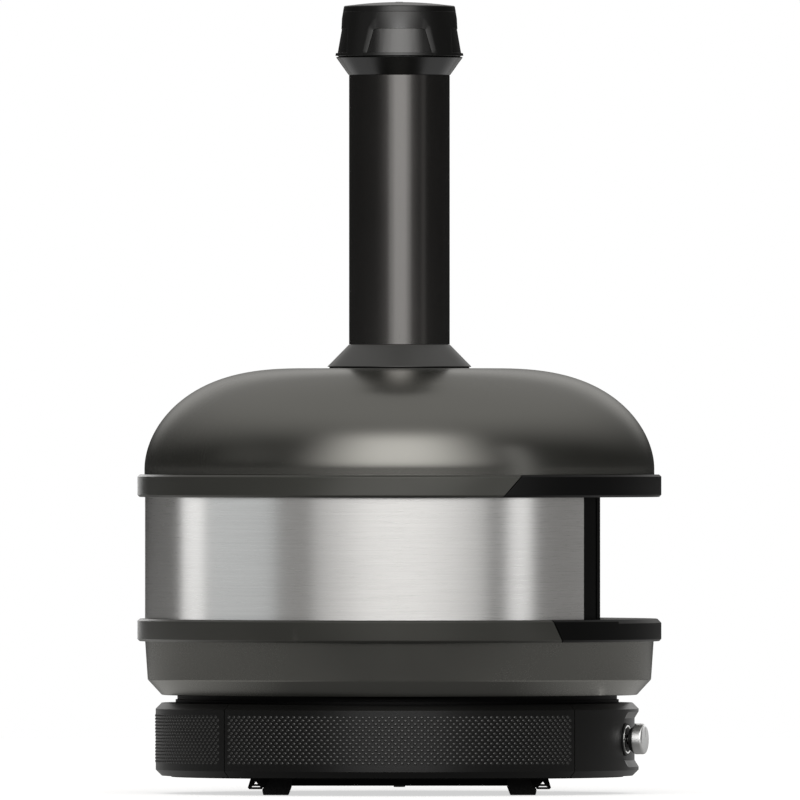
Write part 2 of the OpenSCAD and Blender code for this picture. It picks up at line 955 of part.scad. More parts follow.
foot(1, -1);  // foot_front_left
foot(1, 1);  // foot_front_right
foot(-1, -1);  // foot_rear_left
foot(-1, 1);  // foot_rear_right
stand_hooks();
underside_tray();
centre_bolt();
base_screws();
base_bottom_plate();
base_front_panel();
base_left_panel();
base_right_panel();
base_rear_panel();
base_top_plate();
neck_ring();
gas_inlet();
gas_manifold();
gas_valve(-1);  // gas_valve_left
gas_valve(1);  // gas_valve_right
piezo_igniters();
ignition_leads();
igniter_electrodes();
burner_pipe(-1);  // burner_pipe_left
burner_pipe(1);  // burner_pipe_right
burner(-1);  // burner_left
burner(1);  // burner_right
knob_bezels();
push_collar(-1);  // push_collar_left
push_collar(1);  // push_collar_right
valve_stem(-1);  // valve_stem_left
valve_stem(1);  // valve_stem_right
knob_skirt(-1);  // knob_skirt_left
knob_skirt(1);  // knob_skirt_right
knob_cap(-1);  // knob_cap_left
knob_cap(1);  // knob_cap_right
bowl_shell();
hearth_insulation();
hearth_tray();
pizza_stone();
lower_trim_ring();
landing_lip();
steel_wall();
wall_insulation();
chamber_liner();
mouth_frame();
mouth_throat();
mouth_screws();
upper_trim_ring();
visor();
dome_shell();
dome_insulation();
flue_gasket();
flue_collar();
flue_spigot();
flue_pipe();
cap_funnel();
damper_sleeve();
damper_hood();
damper_lid();
cap_screw();
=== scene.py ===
import math

import bmesh
import bpy
from mathutils import Matrix, Vector


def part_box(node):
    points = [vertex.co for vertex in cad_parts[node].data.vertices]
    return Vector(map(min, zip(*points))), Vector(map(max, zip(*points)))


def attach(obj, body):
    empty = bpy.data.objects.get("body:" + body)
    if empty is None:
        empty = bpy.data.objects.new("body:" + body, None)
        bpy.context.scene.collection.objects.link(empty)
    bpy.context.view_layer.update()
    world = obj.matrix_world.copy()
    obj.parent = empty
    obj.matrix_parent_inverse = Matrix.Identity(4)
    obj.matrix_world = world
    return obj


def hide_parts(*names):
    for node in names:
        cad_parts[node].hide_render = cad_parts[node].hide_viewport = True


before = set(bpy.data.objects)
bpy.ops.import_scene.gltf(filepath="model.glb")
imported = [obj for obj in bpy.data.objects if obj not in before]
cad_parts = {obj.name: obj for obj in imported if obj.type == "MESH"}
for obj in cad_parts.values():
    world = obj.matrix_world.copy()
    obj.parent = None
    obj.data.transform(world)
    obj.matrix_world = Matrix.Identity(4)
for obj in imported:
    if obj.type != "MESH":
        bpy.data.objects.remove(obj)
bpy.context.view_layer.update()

MM = 0.001
TURN = 2 * math.pi


def low(node, axis=2):
    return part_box(node)[0][axis]


def high(node, axis=2):
    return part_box(node)[1][axis]


# Places and sizes that several pieces share, all from the CAD frame
RIM_R = high("lower_trim_ring", 1)
SHELL_R = high("dome_shell", 1)
LOWER_Z, SILL_Z = low("lower_trim_ring"), high("lower_trim_ring")
UPPER_Z = low("upper_trim_ring")
PEAK_Z = high("dome_shell")
BASE_R = high("base_right_panel", 1)
BASE_X = low("base_rear_panel", 0) + BASE_R
FLUE_R = high("flue_pipe", 1)
FLUE_Z, FLUE_TOP = low("flue_pipe"), high("flue_pipe")
HOOD_R = high("damper_hood", 1)
HOOD_Z, HOOD_TOP = low("damper_hood"), high("damper_hood")
HOOD_TOP_R = high("damper_lid", 1) - 0.1 * MM
KNOB_Z = (low("knob_cap_left") + high("knob_cap_left")) / 2
KNOB_ANGLE = math.radians(16.5)
# Half-angles of the front and rear casings, in degrees
FRONT_HALF, REAR_HALF = 43.0, 44.6


# ---------- materials ----------


class Finish:
    """A procedural material: one Principled shader, and short calls for the nodes that feed it."""

    def __init__(self, name, **fixed):
        self.material = bpy.data.materials.new(name)
        self.material.use_nodes = True
        self.tree = self.material.node_tree
        self.shader = self.tree.nodes["Principled BSDF"]
        for socket, value in fixed.items():
            self.shader.inputs[socket.replace("_", " ")].default_value = value
        self.places = self.node("ShaderNodeTexCoord").outputs["Object"]

    def node(self, kind, inputs=(), **settings):
        made = self.tree.nodes.new(kind)
        for key, value in settings.items():
            setattr(made, key, value)
        for socket, value in dict(inputs).items():
            if isinstance(value, bpy.types.NodeSocket):
                self.tree.links.new(value, made.inputs[socket])
            else:
                made.inputs[socket].default_value = value
        return made

    def put(self, socket, source):
        self.tree.links.new(source, self.shader.inputs[socket])

    def math(self, operation, a, b=0.0):
        return self.node("ShaderNodeMath", {0: a, 1: b}, operation=operation).outputs[0]

    def stretched(self, across, around, up):
        """Coordinates for a texture on a body of revolution: outwards, around and up."""
        axis = self.node("ShaderNodeSeparateXYZ", {0: self.places})
        x, y, z = axis.outputs
        flat = self.node("ShaderNodeCombineXYZ", {0: x, 1: y})
        out = self.node("ShaderNodeVectorMath", {0: flat.outputs[0]}, operation="LENGTH")
        return self.node(
            "ShaderNodeCombineXYZ",
            {
                0: self.math("MULTIPLY", out.outputs["Value"], across),
                1: self.math("MULTIPLY", self.math("ARCTAN2", y, x), around),
                2: self.math("MULTIPLY", z, up),
            },
        ).outputs[0]

    def noise(self, scale, detail=4.0, at=None, rough=0.55):
        return self.node(
            "ShaderNodeTexNoise",
            {"Vector": at or self.places, "Scale": scale, "Detail": detail, "Roughness": rough},
        ).outputs["Fac"]

    def cells(self, scale):
        return self.node(
            "ShaderNodeTexVoronoi", {"Vector": self.places, "Scale": scale}, feature="F1"
        ).outputs["Distance"]

    def span(self, value, low_in, high_in, low_out=0.0, high_out=1.0):
        return self.node(
            "ShaderNodeMapRange", {0: value, 1: low_in, 2: high_in, 3: low_out, 4: high_out}
        ).outputs[0]

    def blend(self, share, a, b):
        made = self.node("ShaderNodeMix", {"Factor": share}, data_type="RGBA", blend_type="MIX")
        for socket, value in ((6, a), (7, b)):
            if isinstance(value, bpy.types.NodeSocket):
                self.tree.links.new(value, made.inputs[socket])
            else:
                made.inputs[socket].default_value = (*value, 1.0)
        return made.outputs[2]

    def edges(self, start=0.54, end=0.62):
        """1 on outside edges and corners, 0 on flat faces."""
        return self.span(self.node("ShaderNodeNewGeometry").outputs["Pointiness"], start, end)

    def bump(self, *layers):
        """Layers of (height, depth in metres), the last on top."""
        normal = None
        for height, depth in layers:
            inputs = {"Height": height, "Distance": depth, "Strength": 1.0}
            if normal:
                inputs["Normal"] = normal
            normal = self.node("ShaderNodeBump", inputs).outputs["Normal"]
        self.put("Normal", normal)


def coated(name, colour, worn, rough, grain=900.0, depth=0.02, spread=0.12, patch=6.0, **fixed):
    """Painted, plated or moulded surface: fine grain, slow colour change and paler edges."""
    made = Finish(name, **fixed)
    slow, fine = made.noise(patch, 3.0), made.noise(grain, 2.0)
    shade = [tuple(c * (1 + side * spread) for c in colour) for side in (-1, 1)]
    tone = made.blend(made.span(slow, 0.3, 0.7), *shade)
    scuffs = made.math("MULTIPLY", made.edges(), made.span(made.noise(160.0), 0.35, 0.75))
    made.put("Base Color", made.blend(scuffs, tone, worn))
    broad = made.span(slow, 0.3, 0.7, -0.05, 0.05)
    mottle = made.math("ADD", broad, made.span(fine, 0.3, 0.7, -0.04, 0.04))
    made.put("Roughness", made.math("MULTIPLY", made.math("ADD", mottle, 1.0), rough))
    made.bump((fine, depth * MM))
    return made.material


def brushed(name, colour, rough, along, lines, streaks, depth=0.004, **fixed):
    """Metal brushed round the axis."""
    made = Finish(name, Metallic=1.0, **fixed)
    at = made.stretched(40.0, along, lines)
    fine, coarse = made.noise(1.0, 3.0, at), made.noise(0.23, 2.0, at)
    slow = made.noise(3.0, 2.0)
    shade = [tuple(c * (1 + side * streaks) for c in colour) for side in (-1, 1)]
    tone = made.blend(made.span(made.math("ADD", fine, coarse), 0.7, 1.3), *shade)
    darker = tuple(c * 0.88 for c in colour)
    made.put("Base Color", made.blend(made.span(slow, 0.45, 0.75, 0.0, 0.25), tone, darker))
    made.put("Roughness", made.span(fine, 0.25, 0.75, rough * 0.85, rough * 1.15))
    made.bump((fine, depth * MM))
    return made


def brushed_wall():
    made = brushed(
        "brushed_steel", (0.66, 0.655, 0.645), rough=0.30, along=9.0, lines=2800.0, streaks=0.06,
        depth=0.0025, Anisotropic=0.75, Anisotropic_Rotation=0.25,
    )
    tangent = made.node("ShaderNodeTangent", direction_type="RADIAL", axis="Z")
    made.put("Tangent", tangent.outputs[0])
    return made.material


def baked_stone():
    made = Finish("baking_stone", IOR=1.45)
    speck, fine = made.cells(420.0), made.noise(700.0, 5.0)
    tone = made.blend(made.span(made.noise(14.0, 4.0), 0.35, 0.65), (0.50, 0.41, 0.29), (0.40, 0.31, 0.20))
    scorch = made.span(made.noise(7.0, 3.0), 0.52, 0.72, 0.0, 0.55)
    tone = made.blend(scorch, tone, (0.13, 0.085, 0.05))
    made.put("Base Color", made.blend(made.span(speck, 0.0, 0.35, 0.45, 0.0), tone, (0.20, 0.16, 0.12)))
    made.put("Roughness", made.span(fine, 0.3, 0.7, 0.82, 0.95))
    made.bump((speck, 0.25 * MM), (fine, 0.12 * MM))
    return made.material


def heated_steel():
    made = Finish("heated_steel", Metallic=1.0)
    slow, fine = made.noise(9.0, 4.0), made.noise(300.0, 3.0)
    straw = made.blend(made.span(slow, 0.42, 0.60), (0.34, 0.31, 0.27), (0.30, 0.22, 0.13))
    made.put("Base Color", made.blend(made.span(slow, 0.58, 0.72), straw, (0.13, 0.12, 0.14)))
    made.put("Roughness", made.span(fine, 0.3, 0.7, 0.38, 0.52))
    made.bump((fine, 0.03 * MM))
    return made.material


def blanket():
    made = Finish("blanket", Sheen_Weight=0.3)
    fibre = made.noise(260.0, 6.0, at=made.stretched(1.0, 0.05, 3.0))
    lump = made.noise(24.0, 3.0)
    made.put("Base Color", made.blend(made.span(fibre, 0.3, 0.7), (0.62, 0.58, 0.50), (0.78, 0.75, 0.68)))
    made.put("Roughness", made.span(lump, 0.3, 0.7, 0.85, 0.98))
    made.bump((lump, 1.2 * MM), (fibre, 0.3 * MM))
    return made.material


OLIVE_SHEEN, WARM_SHEEN = (1.0, 0.99, 0.93, 1.0), (1.0, 0.97, 0.94, 1.0)
# Each is (colour, colour of worn edges, roughness, grain scale, grain depth in mm, other settings)
COATINGS = {
    "gunmetal": (
        (0.024, 0.0245, 0.021), (0.05, 0.05, 0.046), 0.26, 1500.0, 0.010,
        dict(IOR=2.8, Specular_Tint=OLIVE_SHEEN),
    ),
    "ring_metal": (
        (0.036, 0.0365, 0.0325), (0.07, 0.07, 0.064), 0.34, 1500.0, 0.012,
        dict(IOR=1.62, Specular_Tint=OLIVE_SHEEN),
    ),
    "flue_black": (
        (0.003, 0.003, 0.0027), (0.02, 0.02, 0.019), 0.20, 1300.0, 0.008,
        dict(IOR=2.6, Specular_Tint=WARM_SHEEN),
    ),
    "collar_grey": ((0.018, 0.0185, 0.016), (0.05, 0.05, 0.045), 0.36, 1100.0, 0.015, dict(IOR=2.0)),
    "black_enamel": ((0.0016, 0.0016, 0.0016), (0.010, 0.010, 0.0095), 0.38, 1200.0, 0.012, dict(IOR=1.30)),
    "casing_black": ((0.0035, 0.0035, 0.0033), (0.014, 0.014, 0.013), 0.32, 700.0, 0.02, dict(IOR=1.42)),
    "cap_black": ((0.005, 0.005, 0.0047), (0.022, 0.022, 0.021), 0.32, 800.0, 0.02, dict(IOR=1.68)),
    "cap_inner": ((0.005, 0.005, 0.0046), (0.02, 0.02, 0.019), 0.24, 900.0, 0.012, dict(IOR=1.95)),
    "funnel_black": ((0.0015, 0.0015, 0.0014), (0.012, 0.012, 0.011), 0.22, 800.0, 0.015, dict(IOR=1.42)),
    "stud_black": ((0.006, 0.006, 0.0057), (0.03, 0.03, 0.028), 0.30, 700.0, 0.01, dict(IOR=1.8)),
    "chassis_black": ((0.0015, 0.0015, 0.0015), (0.006, 0.006, 0.006), 0.45, 500.0, 0.03, dict(IOR=1.25)),
    "screw_black": ((0.014, 0.014, 0.014), (0.06, 0.06, 0.058), 0.38, 900.0, 0.01, dict(IOR=1.9)),
    "foot_rubber": ((0.004, 0.004, 0.004), (0.012, 0.012, 0.012), 0.75, 450.0, 0.05, dict(IOR=1.4)),
    "gasket_black": ((0.006, 0.006, 0.006), (0.02, 0.02, 0.02), 0.7, 420.0, 0.06, dict(IOR=1.4)),
    "valve_alloy": ((0.42, 0.41, 0.38), (0.55, 0.54, 0.5), 0.42, 300.0, 0.03, dict(Metallic=1.0)),
    "polished_steel": ((0.62, 0.61, 0.59), (0.75, 0.74, 0.72), 0.16, 500.0, 0.004, dict(Metallic=1.0)),
    "chrome": ((0.70, 0.70, 0.69), (0.8, 0.8, 0.79), 0.10, 400.0, 0.002, dict(Metallic=1.0)),
    "knob_chrome": ((0.66, 0.66, 0.655), (0.8, 0.8, 0.79), 0.34, 900.0, 0.004, dict(Metallic=1.0)),
    "knob_black": ((0.006, 0.006, 0.006), (0.03, 0.03, 0.03), 0.38, 800.0, 0.02, dict(IOR=1.5)),
    "brass": ((0.62, 0.42, 0.17), (0.75, 0.55, 0.26), 0.30, 350.0, 0.01, dict(Metallic=1.0)),
    "porcelain": ((0.72, 0.70, 0.66), (0.8, 0.78, 0.75), 0.22, 300.0, 0.01, dict(IOR=1.55)),
    "igniter_white": ((0.62, 0.61, 0.57), (0.7, 0.7, 0.66), 0.45, 400.0, 0.02, dict()),
    "lead_red": ((0.30, 0.03, 0.02), (0.4, 0.06, 0.04), 0.5, 500.0, 0.02, dict()),
    "burner_steel": (
        (0.32, 0.29, 0.25), (0.42, 0.38, 0.33), 0.40, 300.0, 0.03,
        dict(Metallic=1.0, spread=0.25),
    ),
}
GLOSS = {name: coated(name, *row[:-1], **row[-1]) for name, row in COATINGS.items()}
GLOSS.update({
    "stainless": brushed_wall(),
    "heated_steel": heated_steel(),
    "baking_stone": baked_stone(),
    "blanket": blanket(),
})


# ---------- mesh making ----------


def from_cad(node):
    """A CAD node's shape as one clean mesh, welded, with its flat faces merged."""
    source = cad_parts[node].data
    bare = bpy.data.meshes.new("bare")
    bare.from_pydata([v.co for v in source.vertices], [], [tuple(p.vertices) for p in source.polygons])
    bm = bmesh.new()
    bm.from_mesh(bare)
    bpy.data.meshes.remove(bare)
    bmesh.ops.remove_doubles(bm, verts=bm.verts, dist=2e-6)
    bmesh.ops.dissolve_limit(bm, angle_limit=math.radians(0.6), verts=bm.verts, edges=bm.edges)
    return bm


def revolve(bm, section, ends=None, steps=144, place=Matrix()):
    """Turns a closed section of (radius, height) about Z, right round or between two ends.
    ends(radius, height) gives the first and last angle at that point of the section."""
    columns = []
    for i in range(steps if ends is None else steps + 1):
        column = []
        for r, z in section:
            first, last = (0.0, TURN) if ends is None else ends(r, z)
            a = first + (last - first) * i / steps
            column.append(bm.verts.new(place @ Vector((r * math.cos(a), r * math.sin(a), z))))
        columns.append(column)
    count = len(section)
    for i in range(steps):
        here, there = columns[i], columns[(i + 1) % len(columns)]
        for j in range(count):
            k = (j + 1) % count
            if section[j][0] > 0 or section[k][0] > 0:
                bm.faces.new((here[j], there[j], there[k], here[k]))
    if ends:
        bm.faces.new(columns[0])
        bm.faces.new(reversed(columns[-1]))
    return bm


def lathe(section, ends=None, steps=144, place=Matrix()):
    return revolve(bmesh.new(), section, ends, steps, place)


def piece(name, bm, finish, body, nodes=(), bevel=0.4 * MM, segments=2, sharp=38.0):
    """Turns a mesh into a finished piece of the object."""
    bmesh.ops.remove_doubles(bm, verts=bm.verts, dist=1e-6)
    bmesh.ops.recalc_face_normals(bm, faces=bm.faces)
    mesh = bpy.data.meshes.new(name)
    bm.to_mesh(mesh)
    bm.free()
    mesh.shade_smooth()
    if not bevel:
        mesh.set_sharp_from_angle(angle=math.radians(sharp))
    mesh.materials.append(GLOSS[finish])
    made = bpy.data.objects.new(name, mesh)
    bpy.context.scene.collection.objects.link(made)
    if bevel:
        edge = made.modifiers.new("edge", "BEVEL")
        edge.width, edge.segments = bevel, segments
        edge.limit_method, edge.angle_limit = "ANGLE", math.radians(28)
        edge.miter_outer = "MITER_ARC"
    normals = made.modifiers.new("normals", "WEIGHTED_NORMAL")
    normals.keep_sharp = True
    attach(made, body)
    if nodes:
        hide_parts(*nodes)
    return made


def leaning(angle, lean, middle):
    """Ends of a front piece whose cuts lean about their own radius, as (first, last) angles."""

    def ends(r, z):
        a = angle + math.asin(-(z - middle) * math.tan(lean) / r)
        return -a, a

    return ends


def resampled(points, count):
    """The same line with points evenly spaced along it."""
    lengths = [0.0]
    for p, q in zip(points, points[1:]):
        lengths.append(lengths[-1] + math.dist(p, q))
    made, i = [], 0
    for n in range(count + 1):
        want = lengths[-1] * n / count
        while i < len(points) - 2 and lengths[i + 1] < want:
            i += 1
        t = (want - lengths[i]) / max(lengths[i + 1] - lengths[i], 1e-12)
        made.append(tuple(p + (q - p) * t for p, q in zip(points[i], points[i + 1])))
    return made


# ---------- bowl, rings, wall and dome ----------

SHEET, THIN = 2 * MM, 1.5 * MM
SEAT_R = RIM_R - 8.4 * MM
RIM_BEVEL = 2.6 * MM
WEB_R, WEB_T, WEB_UP = SEAT_R - 11.6 * MM, 4 * MM, 11.8 * MM
FLAT_R = 112 * MM
SHOULDER_H = 121.8 * MM


def dome_line(inset):
    line = []
    for i in range(721):
        a = math.radians(i / 8)
        line.append((
            FLAT_R + (SHELL_R - inset - FLAT_R) * max(math.cos(a), 0.0) ** (2 / 2.636),
            PEAK_Z - SHOULDER_H + (SHOULDER_H - inset) * math.sin(a) ** (2 / 1.827),
        ))
    return [(SHELL_R - inset, low("dome_shell"))] + resampled(line, 64)


def ring_section(z):
    top, web = z + SILL_Z - LOWER_Z, z + WEB_UP
    b = RIM_BEVEL
    return [
        (SEAT_R, z), (RIM_R - b, z), (RIM_R, z + b), (RIM_R, top - b), (RIM_R - b, top),
        (SEAT_R, top), (SEAT_R, web + WEB_T), (WEB_R, web + WEB_T), (WEB_R, web), (SEAT_R, web),
    ]


def make_shells():
    hole = FLUE_R - 0.9 * MM
    outside, inside = dome_line(0.0), dome_line(SHEET)
    piece("dome", lathe(outside + [(hole, PEAK_Z), (hole, PEAK_Z - SHEET)] + inside[::-1], steps=192),
          "gunmetal", "oven", ["dome_shell"], bevel=0.3 * MM)
    z = low("bowl_shell")
    foot_r, knee_r, knee_z, top = SHELL_R - 21.2 * MM, SHELL_R - 4 * MM, z + 18.7 * MM, high("bowl_shell")
    bowl = lathe([
        (0, z), (foot_r, z), (knee_r, knee_z), (SHELL_R, top), (SHELL_R - SHEET, top),
        (knee_r - SHEET, knee_z + MM), (foot_r - MM, z + SHEET), (0, z + SHEET),
    ], steps=192)
    piece("bowl", bowl, "gunmetal", "oven", ["bowl_shell"], bevel=1.2 * MM, segments=3)


def make_rings():
    tail = math.radians(0.18)
    for name, node, z, angle, lean in (
        ("lower_ring", "lower_trim_ring", LOWER_Z, 52.9, -30),
        ("upper_ring", "upper_trim_ring", UPPER_Z, 64.4, 44),
    ):
        middle = z + (SILL_Z - LOWER_Z) / 2
        front = leaning(math.radians(angle) + tail, math.radians(lean), middle)
        rest = lathe(ring_section(z), lambda r, h: (front(r, h)[1], TURN + front(r, h)[0]), 176)
        piece(name, rest, "ring_metal", "oven", [node], bevel=0.35 * MM)
    for name, node in (("landing", "landing_lip"), ("visor_front", "visor")):
        piece(name, from_cad(node), "black_enamel", "oven", [node], bevel=0.35 * MM)


def make_wall():
    r = high("steel_wall", 1)
    cut = high("steel_wall", 0)
    foot, top, inner = low("steel_wall"), high("steel_wall"), r - THIN
    section = [(inner, foot), (r, foot), (r, top), (inner, top)]
    wall = lathe(section, lambda rr, z: (math.acos(cut / rr), TURN - math.acos(cut / rr)), 160)
    piece("steel_band", wall, "stainless", "oven", ["steel_wall"], bevel=0.2 * MM)
    for name, node, finish, bevel in (
        ("mouth_surround", "mouth_frame", "black_enamel", 0.8 * MM),
        ("throat_sleeve", "mouth_throat", "heated_steel", 0.2 * MM),
        ("chamber_wall", "chamber_liner", "heated_steel", 0.0),
        ("hearth_pan", "hearth_tray", "heated_steel", 0.3 * MM),
        ("frame_screws", "mouth_screws", "screw_black", 0.3 * MM),
    ):
        piece(name, from_cad(node), finish, "oven", [node], bevel)


def make_stone():
    r, z, top = high("pizza_stone", 1), low("pizza_stone"), high("pizza_stone")
    slope = 2.2 * MM
    line = [(0, z), (r - MM, z), (r, z + MM), (r, top - slope), (r - slope, top), (0, top)]
    slab = lathe(line, steps=160)
    piece("baking_slab", slab, "baking_stone", "oven", ["pizza_stone"], bevel=0.8 * MM, segments=3)


def make_burners():
    for side, name in ((-1, "left"), (1, "right")):
        node = "burner_" + name
        ring_r, tube_r = 232 * MM, 8 * MM
        z = (low(node) + high(node)) / 2
        first, sweep = math.radians(125), math.radians(50)
        bm = bmesh.new()
        steps, around = 72, 16
        rows = []
        for i in range(steps + 1):
            a = first + sweep * i / steps
            row = []
            for j in range(around):
                b = TURN * j / around
                r = ring_r + tube_r * math.cos(b)
                up = z + tube_r * math.sin(b)
                row.append(bm.verts.new((r * math.cos(a), side * r * math.sin(a), up)))
            rows.append(row)
        faces = []
        for i in range(steps):
            for j in range(around):
                k = (j + 1) % around
                face = bm.faces.new((rows[i][j], rows[i + 1][j], rows[i + 1][k], rows[i][k]))
                if j == 5 and i % 2 == 1:
                    faces.append(face)
        bm.faces.new(rows[0])
        bm.faces.new(rows[-1])
        bmesh.ops.recalc_face_normals(bm, faces=bm.faces)
        bmesh.ops.inset_individual(bm, faces=faces, thickness=0.5 * MM, depth=0.0)
        for face in faces:
            shift = -1.5 * MM * face.normal
            for v in face.verts:
                v.co += shift
        piece("burner_tube_" + name, bm, "burner_steel", "oven", [node], bevel=0.0)


# ---------- base and controls ----------


def make_base():
    for name, node, finish, bevel in (
        ("front_casing", "base_front_panel", "casing_black", 0.5 * MM),
        ("left_casing", "base_left_panel", "casing_black", 1.1 * MM),
        ("right_casing", "base_right_panel", "casing_black", 1.1 * MM),
        ("rear_casing", "base_rear_panel", "casing_black", 1.1 * MM),
        ("neck", "neck_ring", "chassis_black", 0.3 * MM),
        ("bottom_cover", "base_bottom_plate", "chassis_black", 0.3 * MM),
        ("service_tray", "underside_tray", "chassis_black", 0.8 * MM),
        ("tray_bolt", "centre_bolt", "screw_black", 0.4 * MM),
        ("cover_screws", "base_screws", "screw_black", 0.3 * MM),
        ("strap_eyes", "stand_hooks", "chassis_black", 0.5 * MM),
        ("inlet", "gas_inlet", "brass", 0.4 * MM),
        ("front_left_foot", "foot_front_left", "foot_rubber", 1.2 * MM),
        ("front_right_foot", "foot_front_right", "foot_rubber", 1.2 * MM),
        ("rear_left_foot", "foot_rear_left", "foot_rubber", 1.2 * MM),
        ("rear_right_foot", "foot_rear_right", "foot_rubber", 1.2 * MM),
    ):
        piece(name, from_cad(node), finish, "oven", [node], bevel, 3 if "foot" in name else 2)


def make_knurl():
    """Rows of small round studs on the side and rear casings."""
    pitch_around, pitch_up = 8.0 * MM, 3.98 * MM
    half_around, half_up = 2.4 * MM, 1.9 * MM
    low_z, rows, sides = 39.5 * MM, 15, 8
    # Each is a ring of a stud, as (share of its width, height above the panel)
    levels = ((1.0, -0.05 * MM), (0.68, 0.52 * MM), (0.36, 0.74 * MM))
    inlet_clear = 12 * MM
    turns = [TURN * (i + 0.5) / sides for i in range(sides)]
    step = pitch_around / BASE_R
    for name, middle, first, last in (
        ("left", -90, -180 + REAR_HALF, -FRONT_HALF),
        ("right", 90, FRONT_HALF, 180 - REAR_HALF),
        ("rear", 180, 180 - REAR_HALF, 180 + REAR_HALF),
    ):
        bm = bmesh.new()
        lowest = math.ceil(math.radians(first - middle) / step) + 1
        highest = math.floor(math.radians(last - middle) / step) - 1
        for row in range(rows):
            z = low_z + row * pitch_up
            for column in range(lowest, highest + 1):
                a = math.radians(middle) + (column + (0.25 if row % 2 else -0.25)) * step
                if name == "rear" and math.hypot((a - math.pi) * BASE_R, z - KNOB_Z) < inlet_clear:
                    continue
                rings = []
                for scale, out in levels:
                    r = BASE_R + out
                    rings.append([
                        bm.verts.new((
                            BASE_X + r * math.cos(a + scale * half_around * math.cos(t) / BASE_R),
                            r * math.sin(a + scale * half_around * math.cos(t) / BASE_R),
                            z + scale * half_up * math.sin(t),
                        ))
                        for t in turns
                    ])
                for lower, upper in zip(rings, rings[1:]):
                    for i in range(sides):
                        j = (i + 1) % sides
                        bm.faces.new((lower[i], lower[j], upper[j], upper[i]))
                bm.faces.new(rings[-1])
                bm.faces.new(reversed(rings[0]))
        piece("knurl_" + name, bm, "stud_black", "oven", bevel=0.0, sharp=75)


def make_controls():
    """The two knobs: a black bezel with a chrome ring, and a stem, skirt and cap that turn together."""
    floor = BASE_R - 5 * MM  # bottom of the recess

    def turned(name, section, finish, body, nodes, bevel):
        line = [(r * MM, floor + up * MM) for r, up in section]
        return piece(name, lathe(line, steps=96, place=place), finish, body, nodes, bevel=bevel)

    bezel = ((6.5, 0.05), (20, 0.05), (20, 2.2), (19.2, 3), (6.5, 3))
    trim = ((15.2, 2.9), (17.6, 2.9), (17.4, 3.5), (16.4, 3.8), (15.4, 3.5))
    skirt = ((4.02, 7.2), (14, 7.2), (14, 10.6), (16.2, 10.6), (16.2, 12.8), (4.02, 12.8))
    for side, name in ((-1, "left"), (1, "right")):
        place = (
            Matrix.Translation((BASE_X, 0, KNOB_Z))
            @ Matrix.Rotation(side * KNOB_ANGLE, 4, "Z")
            @ Matrix.Rotation(math.radians(90), 4, "Y")
        )
        made = turned("bezel_" + name, bezel, "knob_black", "oven", (), 0.2 * MM)
        if side < 0:
            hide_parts("knob_bezels")
        turned("bezel_trim_" + name, trim, "chrome", "oven", (), 0.15 * MM)
        body = "knob_" + name
        stem = from_cad("valve_stem_" + name)
        piece("stem_" + name, stem, "polished_steel", body, ["valve_stem_" + name], bevel=0.3 * MM)
        turned("skirt_" + name, skirt, "knob_black", body, ["knob_skirt_" + name], 0.4 * MM)
        cap = from_cad("knob_cap_" + name)
        nodes = ["knob_cap_" + name]
        piece("knob_face_" + name, cap, "knob_chrome", body, nodes, bevel=1.2 * MM, segments=4)


# ---------- flue and damper ----------


def make_flue():
    inner = FLUE_R - THIN
    pipe = [(inner, FLUE_Z), (FLUE_R, FLUE_Z), (FLUE_R, FLUE_TOP), (inner, FLUE_TOP)]
    piece("flue_tube", lathe(pipe, steps=128), "flue_black", "flue", ["flue_pipe"], bevel=0.4 * MM)
    for name, node, finish, body in (
        ("collar_gasket", "flue_gasket", "gasket_black", "oven"),
        ("collar", "flue_collar", "collar_grey", "oven"),
        ("inner_spigot", "flue_spigot", "heated_steel", "oven"),
        ("cap_seat", "cap_funnel", "funnel_black", "flue"),
    ):
        piece(name, from_cad(node), finish, body, [node], bevel=0.25 * MM)
    # The sleeve stands close behind the hood's thin wall
    sleeve, spread = from_cad("damper_sleeve"), 1.2 * MM
    for vert in sleeve.verts:
        r = math.hypot(vert.co.x, vert.co.y)
        if r > 0.8 * HOOD_TOP_R and vert.co.z > HOOD_Z:
            vert.co.x *= 1 + spread / r
            vert.co.y *= 1 + spread / r
    piece("sleeve", sleeve, "cap_inner", "flue", ["damper_sleeve"], bevel=0.25 * MM)


def hood_r_at(z):
    return HOOD_R - (z - HOOD_Z) * (HOOD_R - HOOD_TOP_R) / (HOOD_TOP - HOOD_Z)


